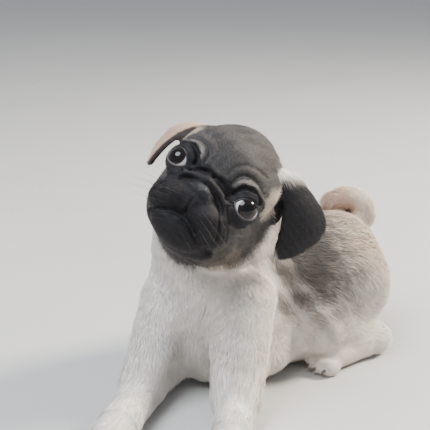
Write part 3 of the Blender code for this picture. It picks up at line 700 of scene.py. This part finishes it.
lid_finish = Finish("lid rim", Specular_IOR_Level=0.25, Coat_Weight=0.08, Coat_Roughness=0.25)
lid_where = lid_finish.place()
beyond = lid_finish.attribute("beyond")
mottle = lid_finish.noise(lid_where, 700.0, 5.0)
bare = lid_finish.mix(mottle, (0.060, 0.048, 0.052, 1.0), (0.15, 0.125, 0.13, 1.0))
bare = lid_finish.mix(lid_finish.attribute("lower"), (0.022, 0.020, 0.023, 1.0), bare)
haired = lid_finish.ramp(beyond, 0.35, 0.6)
lid_finish.to("Base Color", lid_finish.mix(haired, bare, (0.012, 0.011, 0.013, 1.0)))
lid_finish.to("Roughness", lid_finish.ramp(beyond, 0.1, 0.7, 0.22, 0.6))
lid_finish.to("Normal", lid_finish.bump(mottle + lid_finish.noise(lid_where, 2200.0), 0.35, 0.0004))


def loft(form, rings, capped):
    """Makes a circle for the first ring of places and draws it out to each of the others."""
    row = bmesh.ops.create_circle(form, segments=len(rings[0]), radius=1.0)["verts"]
    edges = list({edge for vertex in row for edge in vertex.link_edges})
    first = row
    for index, ring in enumerate(rings):
        if index:
            grown = set(bmesh.ops.extrude_edge_only(form, edges=edges)["geom"])
            edges = [piece for piece in grown if isinstance(piece, bmesh.types.BMEdge)
                     and all(vertex in grown for vertex in piece.verts)]
            row = [next(other for other in (edge.other_vert(vertex) for edge in vertex.link_edges)
                        if other in grown) for vertex in row]
        for vertex, place in zip(row, ring):
            vertex.co = place
    if capped:
        bmesh.ops.contextual_create(form, geom=first)
        bmesh.ops.contextual_create(form, geom=row)


for side, hand in ((1, "left"), (-1, "right")):
    ring = bmesh.new()
    turns = np.linspace(0.0, 2 * math.pi, LID_SEGMENTS, endpoint=False)
    rows = [[lid_place(side, turned, reach, height) for turned in turns] for reach, height in LID_ROWS]
    loft(ring, rows, False)
    lids = finished("eyelids_" + hand, ring, lid_finish)
    local = (np.array([vertex.co[:] for vertex in lids.data.vertices]) - eye_middle[side]) @ socket_turn(side)
    row_share = np.linspace(0.0, 1.0, len(LID_ROWS))
    write_attribute(lids.data, "beyond", np.repeat(row_share, LID_SEGMENTS))
    write_attribute(lids.data, "lower", 1.0 - fade(local[:, 2] * 100.0, -0.3, 0.3))
    thick = lids.modifiers.new("Thickness", "SOLIDIFY")
    thick.thickness = LID_THICKNESS
    thick.offset = -1.0

    corner = bmesh.new()
    place = Vector(lid_place(side, math.pi, 0.10, -0.02))
    stand = Matrix.Translation(place) @ Matrix(socket_turn(side).tolist()).to_4x4()
    bmesh.ops.create_icosphere(corner, subdivisions=3, radius=1.0, matrix=stand @ Matrix.Diagonal(CORNER_HALF))
    flesh = Finish("eye corner " + hand, Coat_Weight=0.8, Coat_Roughness=0.1)
    spots = flesh.noise(flesh.place(), 1500.0)
    flesh.to("Base Color", flesh.mix(spots, (0.06, 0.03, 0.03, 1.0), (0.16, 0.085, 0.085, 1.0)))
    flesh.to("Normal", flesh.bump(spots, 0.3, 0.0003))
    finished("eye_corner_" + hand, corner, flesh)


# The nose leather. It is bare, thick black skin with a pebbled grain, split below the middle by a groove, and
# each nostril is a round hole drawn out sideways into a slit. It sits in the hide at the front of the muzzle.
NOSE_MIDDLE = (0.0, -4.33, -0.22)
NOSE_HALF = (0.82, 0.55, 0.56)


def dent(points, path, reach, depth):
    """How far points go back where a path presses into them."""
    return depth * np.exp(-((off_path(points, path) / reach) ** 2))


pad = bmesh.new()
bmesh.ops.create_icosphere(pad, subdivisions=6, radius=1.0)
ball = np.array([vertex.co[:] for vertex in pad.verts])
points = ball * NOSE_HALF
wing = fade(np.abs(points[:, 0]), 0.1, 0.75)
points[:, 2] += 0.05 * wing * (points[:, 2] < 0) - 0.09 * wing * (points[:, 2] > 0)
forward = fade(-ball[:, 1], 0.0, 0.5)
aside = np.stack((np.abs(points[:, 0]), points[:, 2]), axis=1)
pressed = dent(aside, [(0.34, -0.04), (0.43, -0.02)], 0.18, 0.50)
pressed += dent(aside, [(0.42, -0.06), (0.58, -0.17), (0.74, -0.20)], 0.075, 0.20)
pressed += dent(aside, [(0.0, -0.05), (0.0, -0.7)], 0.05, 0.12)
pressed += dent(aside, [(0.0, 0.3), (0.0, 0.6)], 0.12, 0.03)
raised = dent(aside, [(0.25, 0.16), (0.45, 0.15), (0.6, 0.02)], 0.12, 0.05)
raised += dent(aside, [(0.19, -0.22), (0.42, -0.27)], 0.09, 0.05)
points[:, 1] += forward * (pressed - raised)
move(pad, [from_head(point + np.array(NOSE_MIDDLE)) for point in points])
leather = Finish("nose leather", Specular_IOR_Level=0.28, Coat_Weight=0.03, Coat_Roughness=0.25)
leather_where = leather.place()
cells = leather.node("ShaderNodeTexVoronoi", {"feature": "DISTANCE_TO_EDGE"},
                     {"Vector": leather_where, "Scale": 1500.0}, "Distance")
pebbles = leather.ramp(cells, 0.0, 0.22)
cloud = leather.noise(leather_where, 260.0, 4.0)
tinted = leather.mix(cloud, (0.007, 0.008, 0.012, 1.0), (0.020, 0.024, 0.032, 1.0))
# The nostrils and grooves, where the pad is pressed in, are painted near black as shade in the hollows.
leather.to("Base Color", leather.mix(leather.attribute("hollow"), tinted, (0.004, 0.004, 0.004, 1.0)))
leather.to("Roughness", leather.ramp(cloud, 0.3, 0.7, 0.42, 0.6))
leather.to("Normal", leather.bump(pebbles + 0.6 * cloud, 0.55, 0.00025))
nose = finished("nose_leather", pad, leather)
write_attribute(nose.data, "hollow", np.clip(pressed / 0.2, 0.0, 1.0))
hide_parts("nose")


# The claws. Each toe ends in a short, blunt, curved claw of dark horn that grows out of the toe's tip and
# points down to the ground. Four show on each paw.
TOES = ((-0.95, 0.95), (-0.34, 1.35), (0.34, 1.35), (0.95, 0.95))
RUMP_TURN = math.radians(49)
RUMP_MIDDLE = np.array((4.27, 7.99))
rump_way = np.array(((math.cos(RUMP_TURN), math.sin(RUMP_TURN)), (-math.sin(RUMP_TURN), math.cos(RUMP_TURN))))


def from_rump(x, y, z):
    """A point of the rump's own axes, x left and y back from the pelvis and z over the ground, in cm."""
    return np.array((*(RUMP_MIDDLE + rump_way @ np.array((x, y))), z)) * 0.01


FORE_PAW_LEFT = np.array((0.02, -10.01, 1.15)) * 0.01
FORE_PAW_RIGHT = np.array((-7.48, -10.41, 1.15)) * 0.01
PAWS = (
    (FORE_PAW_LEFT, math.radians(8)),
    (FORE_PAW_RIGHT, math.radians(-3)),
    (from_rump(3.6, -2.2, 1.05), -RUMP_TURN + math.radians(4)),
    (from_rump(-3.6, -2.2, 1.05), -RUMP_TURN - math.radians(4)),
)
CLAW_SHAPE = ((0.0, 0.0, 0.17), (0.18, 0.035, 0.155), (0.36, 0.03, 0.13), (0.5, -0.02, 0.10),
              (0.62, -0.1, 0.06), (0.68, -0.16, 0.02))
CLAW_SIDES = 14
CLAW_ROOT_BACK = 0.36
CLAW_HEIGHT = 0.0054

claws = bmesh.new()
around = np.linspace(0.0, 2 * math.pi, CLAW_SIDES, endpoint=False)
for paw, heading in PAWS:
    turn = np.array(Matrix.Rotation(heading, 3, "Z"))
    for aside, ahead in TOES:
        root = paw + turn @ (np.array((aside, -ahead - CLAW_ROOT_BACK, 0.0)) * 0.01)
        root[2] = CLAW_HEIGHT
        rings = []
        for reach, rise, radius in CLAW_SHAPE:
            behind = np.full(CLAW_SIDES, -reach)
            local = np.stack((0.8 * radius * np.cos(around), behind, rise + radius * np.sin(around)))
            rings.append(root + (turn @ local * 0.01).T)
        loft(claws, rings, True)
horn = Finish("claw horn", Specular_IOR_Level=0.5, Coat_Weight=0.3, Coat_Roughness=0.25)
grain = horn.noise(horn.place(), 500.0, 5.0)
horn.to("Base Color", horn.mix(grain, (0.030, 0.024, 0.022, 1.0), (0.12, 0.095, 0.08, 1.0)))
horn.to("Roughness", horn.ramp(grain, 0.3, 0.7, 0.28, 0.5))
horn.to("Normal", horn.bump(grain, 0.3, 0.0002))
finished("claws", claws, horn)


# The coat. A pug's hair is short, soft and lies close: two or three millimetres on the face, velvet on the
# ears, and up to a centimetre on the neck, chest and flanks of a puppy. It runs from the nose back over the
# skull, down the neck and chest, along the back, and down each leg to the toes. Each tuft is one thin closed
# spindle, sunk at its root, widest near the skin and bent over to lie along the body.
TUFT_LIMIT = 33000
TUFT_FACES = np.array(((0, 2, 1), (0, 3, 2), (0, 1, 3), (4, 1, 2), (4, 2, 3), (4, 3, 1)))
ROOT_DEPTH = 0.0003
BEND_AT = 0.38
GROUND_CLEAR = 0.0002
DARK_ALONG = np.array((0.75, 0.93, 0.93, 0.95, 1.0))
TONE_ALONG = np.array((1.25, 1.0, 1.0, 1.0, 0.7))
BAKE_PATCH = np.array(((0.0, -0.0015), (-0.0013, 0.0), (0.0013, 0.0), (0.0, 0.0004), (0.0, 0.0015)))
HAIR_EGG = ((0.0, -0.6, 0.1), (4.5, 5.0, 5.0))

bpy.ops.object.select_all(action="DESELECT")
bpy.context.view_layer.objects.active = skin
skin.select_set(True)
bpy.ops.object.mode_set(mode="EDIT")
bpy.ops.mesh.select_all(action="SELECT")
bpy.ops.uv.smart_project(angle_limit=math.radians(66), island_margin=0.002)
bpy.ops.object.mode_set(mode="OBJECT")
corner_count = len(skin_mesh.loops)
unwrap = np.empty(2 * corner_count)
skin_mesh.uv_layers.active.data.foreach_get("uv", unwrap)
unwrap = unwrap.reshape(-1, 3, 2)
corners = np.empty(corner_count, int)
skin_mesh.loops.foreach_get("vertex_index", corners)
corners = corners.reshape(-1, 3)
skin_normals = np.empty(3 * len(skin_mesh.vertices))
skin_mesh.vertices.foreach_get("normal", skin_normals)
skin_normals = skin_normals.reshape(-1, 3)
across = skin_places[corners[:, 1]] - skin_places[corners[:, 0]]
upwards = skin_places[corners[:, 2]] - skin_places[corners[:, 0]]
face_area = 0.5 * np.linalg.norm(np.cross(across, upwards), axis=1)
face_place = skin_places[corners].mean(axis=1)


def unit(vectors):
    """Vectors brought to length 1."""
    return vectors / np.maximum(np.linalg.norm(vectors, axis=1), 1e-9)[:, None]


def leg_line(*points):
    """A line through points given in centimetres."""
    return [np.array(point) * 0.01 for point in points]


# The lie of the coat: lines that the hair near them runs along, and how far each line's pull reaches, in cm.
LIE = [
    (leg_line((-3.2, -2.6, 11.5), (-3.6, -2.8, 6.0), (-3.6, -2.0, 2.0)), 3.0),
    (leg_line((-2.6, 3.6, 13.5), (-0.8, 5.2, 10.4)), 2.6),
    (leg_line((0.2, 0.6, 11.0), (0.6, 1.8, 6.5)), 2.2),
    (leg_line((-1.6, 3.1, 9.5), (1.3, 5.8, 9.8), (4.3, 8.0, 9.0), (7.4, 10.6, 5.5)), 3.0),
    (leg_line((-1.4, 1.6, 5.5), (3.0, 4.4, 4.2), (6.6, 5.6, 2.6)), 2.6),
    (leg_line((-5.5, -0.2, 6.4), (-6.6, -1.2, 2.2), (-7.2, -8.4, 1.25), (-7.5, -12.2, 0.7)), 2.0),
    (leg_line((-1.3, 0.0, 6.6), (-1.1, -1.0, 2.2), (-0.2, -8.0, 1.25), (0.0, -12.0, 0.7)), 2.0),
]
for side in (1, -1):
    thigh = ((1.8, 0.3, 6.5), (3.2, -3.2, 3.6), (3.4, 1.7, 1.25))
    foot = ((3.1, 1.7, 1.2), (3.6, -3.6, 0.8))
    LIE.append(([from_rump(side * x, y, z) for x, y, z in thigh], 2.0))
    LIE.append(([from_rump(side * x, y, z) for x, y, z in foot], 1.3))
TAIL_MIDDLE = np.array((4.97, 10.69, 9.65)) * 0.01
TAIL_ACROSS = np.array((math.cos(math.radians(12)), math.sin(math.radians(12)), 0.0))


def lie_of_coat(places):
    """The way the hair runs at each place, before it is laid on the skin."""
    way = np.zeros_like(places)
    for line, reach in LIE:
        for start, end in zip(line, line[1:]):
            pull = (reach / (off_path(places, (start, end)) * 100.0 + 0.3)) ** 4
            way += pull[:, None] * (end - start) / np.linalg.norm(end - start)
    way = unit(way)
    head = in_head(places)
    from_nose = unit(head - np.array((0.0, -5.0, 0.2))) @ HEAD_TURN.T
    on_head = inside(head, *HEAD_EGG, 0.98, 1.22)
    way = way + on_head[:, None] * (1.6 * from_nose - way)
    for node, root in (("ear_left", HEAD_MIDDLE + np.array((0.026, 0.010, 0.032))),
                       ("ear_right", from_head((-0.8, 0.5, 4.2)))):
        way = way + box_share(places, 0.001, node)[:, None] * (unit(places - root) * 2.0 - way)
    around = places - TAIL_MIDDLE
    flat = np.stack((around @ TAIL_ACROSS, around[:, 2]), axis=1)
    turning = -flat[:, 1:] * TAIL_ACROSS + flat[:, :1] * np.array((0.0, 0.0, 1.0))
    return unit(way + box_share(places, 0.002, "tail")[:, None] * (2.0 * unit(turning) - way))


EAR_TOP = np.array((4.6, 1.0, 1.5)) * 0.01


def ear_top_share(places):
    """1 in the pale fluff at the root of the left ear, fading to 0 round it."""
    return 1.0 - fade(np.linalg.norm(places - HEAD_MIDDLE - EAR_TOP, axis=1) * 100.0, 0.7, 1.5)


def hair_length(places):
    """How long the hair is at each place, in millimetres."""
    head = in_head(places)
    on_head = inside(head, *HAIR_EGG, 0.92, 1.15)
    muzzle = inside(head, (0.0, -4.0, -1.3), (2.8, 2.4, 2.6), 0.8, 1.3)
    eye = np.linalg.norm(np.abs(head * (1, 0, 0)) + head * (0, 1, 1) - np.array(EYE_IN_HEAD), axis=1)
    length = 9.0 - 5.2 * on_head - 1.3 * on_head * fade(-head[:, 1], 0.5, 2.6)
    length = length - 0.8 * muzzle * on_head
    length = length * (1.0 - 0.4 * (1.0 - fade(eye, 1.1, 1.9)))
    low = 1.0 - fade(places[:, 2], 0.008, 0.03)
    fore = fade(-places[:, 1], 0.02, 0.06)
    length = length - (1.0 - on_head) * (1.5 * low + 3.0 * fore * low)
    length = length + (3.0 - length) * box_share(places, 0.006, *PAW_NODES)
    length = length + (2.4 - length) * box_share(places, 0.001, *EAR_NODES)
    return length + (7.0 - length) * ear_top_share(places)


def hair_lift(places):
    """How steeply hair leaves the skin at each place, in degrees."""
    chest = fade(-places[:, 1], -0.01, 0.02) * fade(places[:, 2], 0.03, 0.05)
    lift = 14.0 + 3.0 * chest - inside(in_head(places), *HAIR_EGG, 0.92, 1.15)
    lift = lift + (8.0 - lift) * box_share(places, 0.001, *EAR_NODES)
    return lift + (24.0 - lift) * ear_top_share(places)


head_faces = in_head(face_place)
in_ear = box_share(face_place, 0.0005, *EAR_NODES) > 0.5
in_tail = box_share(face_place, 0.0005, "tail") > 0.5
limbs = box_share(face_place, 0.001, "foreleg_left", "foreleg_right") > 0.5
limbs &= (face_place[:, 2] < 0.045) & (face_place[:, 1] < -0.01)
limbs |= box_share(face_place, 0.001, *PAW_NODES) > 0.5
chin_up = (inside(head_faces, *HEAD_EGG, 0.98, 1.14) > 0.5) & ~in_ear
face_front = chin_up & (head_faces[:, 1] < -1.9)
trunk = ~(chin_up | in_ear | in_tail | limbs)
behind = (face_place * 100.0 - CHEST_BACK) @ PELVIS_WAY
regions = {
    "coat_face": (face_front, 1.0),
    "coat_skull": (chin_up & ~face_front, 1.0),
    "coat_ears": (in_ear, 0.6),
    "coat_neck_and_chest": (trunk & (behind <= -1.2) & (face_place[:, 2] > 0.055), 1.0),
    "coat_brisket": (trunk & (behind <= -1.2) & (face_place[:, 2] <= 0.055), 0.45),
    "coat_shoulders": (trunk & (behind > -1.2) & (behind <= 3.0), 1.0),
    "coat_back_and_rump": (trunk & (behind > 3.0), 1.0),
    "coat_legs_and_paws": (limbs, 0.95),
    "coat_tail": (in_tail, 0.3),
}

fur = coat_finish("coat", 0.55, 0.02)
lid_off = np.full(len(face_place), 9.0)
for side in (1, -1):
    far, off, about = round_socket(face_place, side)
    lid_off = np.minimum(lid_off, np.where(far < 1.7, off - opening_angle(about), 9.0))
bare = (lid_off < 0.42) | (in_egg(head_faces, NOSE_MIDDLE, np.array(NOSE_HALF) + 0.02) < 1.0)
under = face_place[:, 2] < 0.0012
draw = np.random.default_rng(7)

for name, (chosen, share) in regions.items():
    where = np.flatnonzero(chosen & ~bare & ~under)
    size = hair_length(face_place[where])
    crowd = face_area[where] / (size * (0.16 + 0.045 * size))
    count = int(TUFT_LIMIT * share)
    picked = where[np.searchsorted(np.cumsum(crowd) / crowd.sum(), np.sort(draw.random(count)))]
    first = np.sqrt(draw.random(count))
    second = draw.random(count)
    weights = np.stack((1.0 - first, first * (1.0 - second), first * second), axis=1)[:, :, None]
    roots = (skin_places[corners[picked]] * weights).sum(axis=1)
    normal = unit((skin_normals[corners[picked]] * weights).sum(axis=1))
    place_on_unwrap = (unwrap[picked] * weights).sum(axis=1)
    length = hair_length(roots) * draw.uniform(0.75, 1.2, count)
    width = (0.14 + 0.02 * length) * draw.uniform(0.75, 1.25, count)
    lift = np.radians(hair_lift(roots) + draw.normal(0.0, 3.0, count))
    way = lie_of_coat(roots)
    way = unit(way - (way * normal).sum(axis=1)[:, None] * normal)
    aside = np.cross(way, normal)
    swirl = 0.16 * np.sin(roots @ (260.0, 310.0, 180.0)) + 0.14 * np.sin(roots @ (-520.0, 430.0, 610.0) + 1.0)
    swirl = swirl + draw.normal(0.0, 0.13, count)
    way = np.cos(swirl)[:, None] * way + np.sin(swirl)[:, None] * aside
    aside = np.cross(way, normal)
    rise = np.cos(lift)[:, None] * way + np.sin(lift)[:, None] * normal
    rest = np.cos(0.25 * lift)[:, None] * way + np.sin(0.25 * lift)[:, None] * normal
    reach = length[:, None] * 0.001
    half = 0.5 * width[:, None] * 0.001
    middle = roots + BEND_AT * reach * rise
    made = np.stack((
        roots - ROOT_DEPTH * normal,
        middle + half * aside,
        middle - half * aside,
        middle + 0.7 * half * np.cross(aside, rise),
        middle + (1.0 - BEND_AT) * reach * rest,
    ), axis=1)
    made[:, :, 2] = np.maximum(made[:, :, 2], GROUND_CLEAR)
    all_triangles = (np.arange(count)[:, None, None] * 5 + TUFT_FACES).reshape(-1)
    mesh = bpy.data.meshes.new(name)
    mesh.vertices.add(5 * count)
    mesh.vertices.foreach_set("co", made.astype(np.float32).ravel())
    mesh.loops.add(18 * count)
    mesh.loops.foreach_set("vertex_index", all_triangles.astype(np.int32))
    mesh.polygons.add(6 * count)
    mesh.polygons.foreach_set("loop_start", np.arange(0, 18 * count, 3, dtype=np.int32))
    mesh.update(calc_edges=True)
    mesh.polygons.foreach_set("use_smooth", np.ones(6 * count, bool))
    facing = np.stack((normal, normal + 0.5 * aside, normal - 0.5 * aside, normal, normal + 0.2 * way), axis=1)
    mesh.normals_split_custom_set_from_vertices(unit(facing.reshape(-1, 3)))
    bake = (place_on_unwrap[:, None, :] + BAKE_PATCH).reshape(-1, 2)[all_triangles]
    mesh.uv_layers.new(name="OFBake").data.foreach_set("uv", bake.astype(np.float32).ravel())

    black, sable, warm = markings_and_painted_light(roots)
    chance = draw.random(count)
    tipped = np.clip(sable + 2.2 * (0.5 - chance) * sable * (1.0 - sable), 0.0, 1.0)
    tone = np.clip(draw.normal(0.5, 0.12, count), 0.0, 1.0)
    write_attribute(mesh, "dark", np.maximum(black[:, None], tipped[:, None] * DARK_ALONG).ravel())
    write_attribute(mesh, "warm", np.repeat(warm, 5))
    write_attribute(mesh, "tone", np.clip(tone[:, None] * TONE_ALONG, 0.0, 1.0).ravel())
    mesh.materials.append(fur.made)
    tufts = placed(name, mesh)
    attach(tufts, "root")


# The whiskers. Stiff dark bristles grow from small bumps on the hanging lips, with a few more on the brows,
# cheeks and chin. Each is thickest at its root, bends back and down, and ends in a fine tip.
WHISKER_SIDES = 6
WHISKER_RINGS = 7
WHISKER_RADIUS = 0.0001
WHISKER_DEPTH = 0.0015
WHISKER_ROOTS = (
    (1.05, -1.05, 14), (1.45, -1.15, 17), (1.85, -1.35, 19), (1.15, -1.45, 13), (1.6, -1.6, 18),
    (2.05, -1.85, 20), (1.35, -1.95, 12), (1.8, -2.15, 16), (2.3, -1.5, 15), (0.7, -2.75, 9),
    (1.2, -3.0, 10), (1.9, 2.05, 12), (2.25, 1.95, 14), (3.0, -1.2, 13),
)

bristles = bmesh.new()
for side in (1, -1):
    for x, z, length in WHISKER_ROOTS:
        start = on_face([(x, z), (x, z)], side)[0]
        bend = in_head(start[None])[0]
        outwards = HEAD_TURN @ np.array((side * (0.6 + 0.25 * abs(bend[0])), -0.55, 0.12 * bend[2]))
        outwards /= np.linalg.norm(outwards)
        droop = HEAD_TURN @ np.array((0.35 * side, 0.8, -0.35))
        aside = np.cross(outwards, droop)
        aside /= np.linalg.norm(aside)
        upright = np.cross(aside, outwards)
        rings = []
        for share in np.linspace(0.0, 1.0, WHISKER_RINGS):
            middle = start - WHISKER_DEPTH * outwards
            middle = middle + length * 0.001 * (share * outwards + 0.3 * share**2 * droop)
            radius = WHISKER_RADIUS * (1.0 - 0.8 * share)
            turned = np.linspace(0.0, 2 * math.pi, WHISKER_SIDES, endpoint=False)[:, None]
            rings.append(middle + radius * (np.cos(turned) * aside + np.sin(turned) * upright))
        loft(bristles, rings, True)
bristle = Finish("whisker", Specular_IOR_Level=0.4)
bands = bristle.noise(bristle.place(), 400.0)
bristle.to("Base Color", bristle.mix(bands, (0.012, 0.010, 0.010, 1.0), (0.07, 0.05, 0.04, 1.0)))
bristle.to("Roughness", bristle.ramp(bands, 0.3, 0.7, 0.35, 0.5))
finished("whiskers", bristles, bristle)


# The studio. A plain pale floor, a round warm lamp behind the dog on its left like the low sun, and a wider,
# cooler one high in front on its right like the open sky. The camera stands and looks as the photo's did.
FLOOR_HALF = 8.0
FOCAL_PIXELS = 862.0
PHOTO_PIXELS = 430.0
SENSOR_WIDTH = 36.0
LAMPS_LOOK_AT = Vector((0.0, 0.0, 0.09))

floor_form = bmesh.new()
bmesh.ops.create_grid(floor_form, x_segments=1, y_segments=1, size=FLOOR_HALF)
floor_mesh = bpy.data.meshes.new("floor")
floor_form.to_mesh(floor_mesh)
floor_form.free()
floor = placed("floor", floor_mesh)
pale = Finish("pale floor")
floor_where = pale.place()
speckle = pale.noise(floor_where, 6.0)
pale.to("Base Color", pale.mix(speckle, (0.50, 0.50, 0.49, 1.0), (0.55, 0.55, 0.54, 1.0)))
pale.to("Roughness", pale.ramp(speckle, 0.3, 0.7, 0.7, 0.85))
floor_mesh.materials.append(pale.made)

camera_data = bpy.data.cameras.new("camera")
camera_data.sensor_width = SENSOR_WIDTH
camera_data.lens = SENSOR_WIDTH * FOCAL_PIXELS / PHOTO_PIXELS
camera = placed("camera", camera_data)
camera.location = (0.0825, -0.532, 0.30)
camera.rotation_euler = (math.radians(72), 0.0, math.radians(12))
bpy.context.scene.camera = camera


def soft_light(name, place, size, power, colour):
    """A large round lamp that looks at the dog."""
    data = bpy.data.lights.new(name, "AREA")
    data.shape = "DISK"
    data.size = size
    data.energy = power
    data.color = colour
    lamp = placed(name, data)
    lamp.location = place
    lamp.rotation_euler = (LAMPS_LOOK_AT - Vector(place)).to_track_quat("-Z", "Y").to_euler()


soft_light("low_sun", (1.1, 0.5, 1.0), 0.4, 62.0, (1.0, 0.90, 0.77))
soft_light("open_sky", (-0.5, -0.65, 1.5), 1.1, 44.0, (0.90, 0.95, 1.0))
world = bpy.data.worlds.new("studio")
world.use_nodes = True
world.node_tree.nodes["Background"].inputs["Color"].default_value = (0.9, 0.93, 1.0, 1.0)
world.node_tree.nodes["Background"].inputs["Strength"].default_value = 0.6
bpy.context.scene.world = world
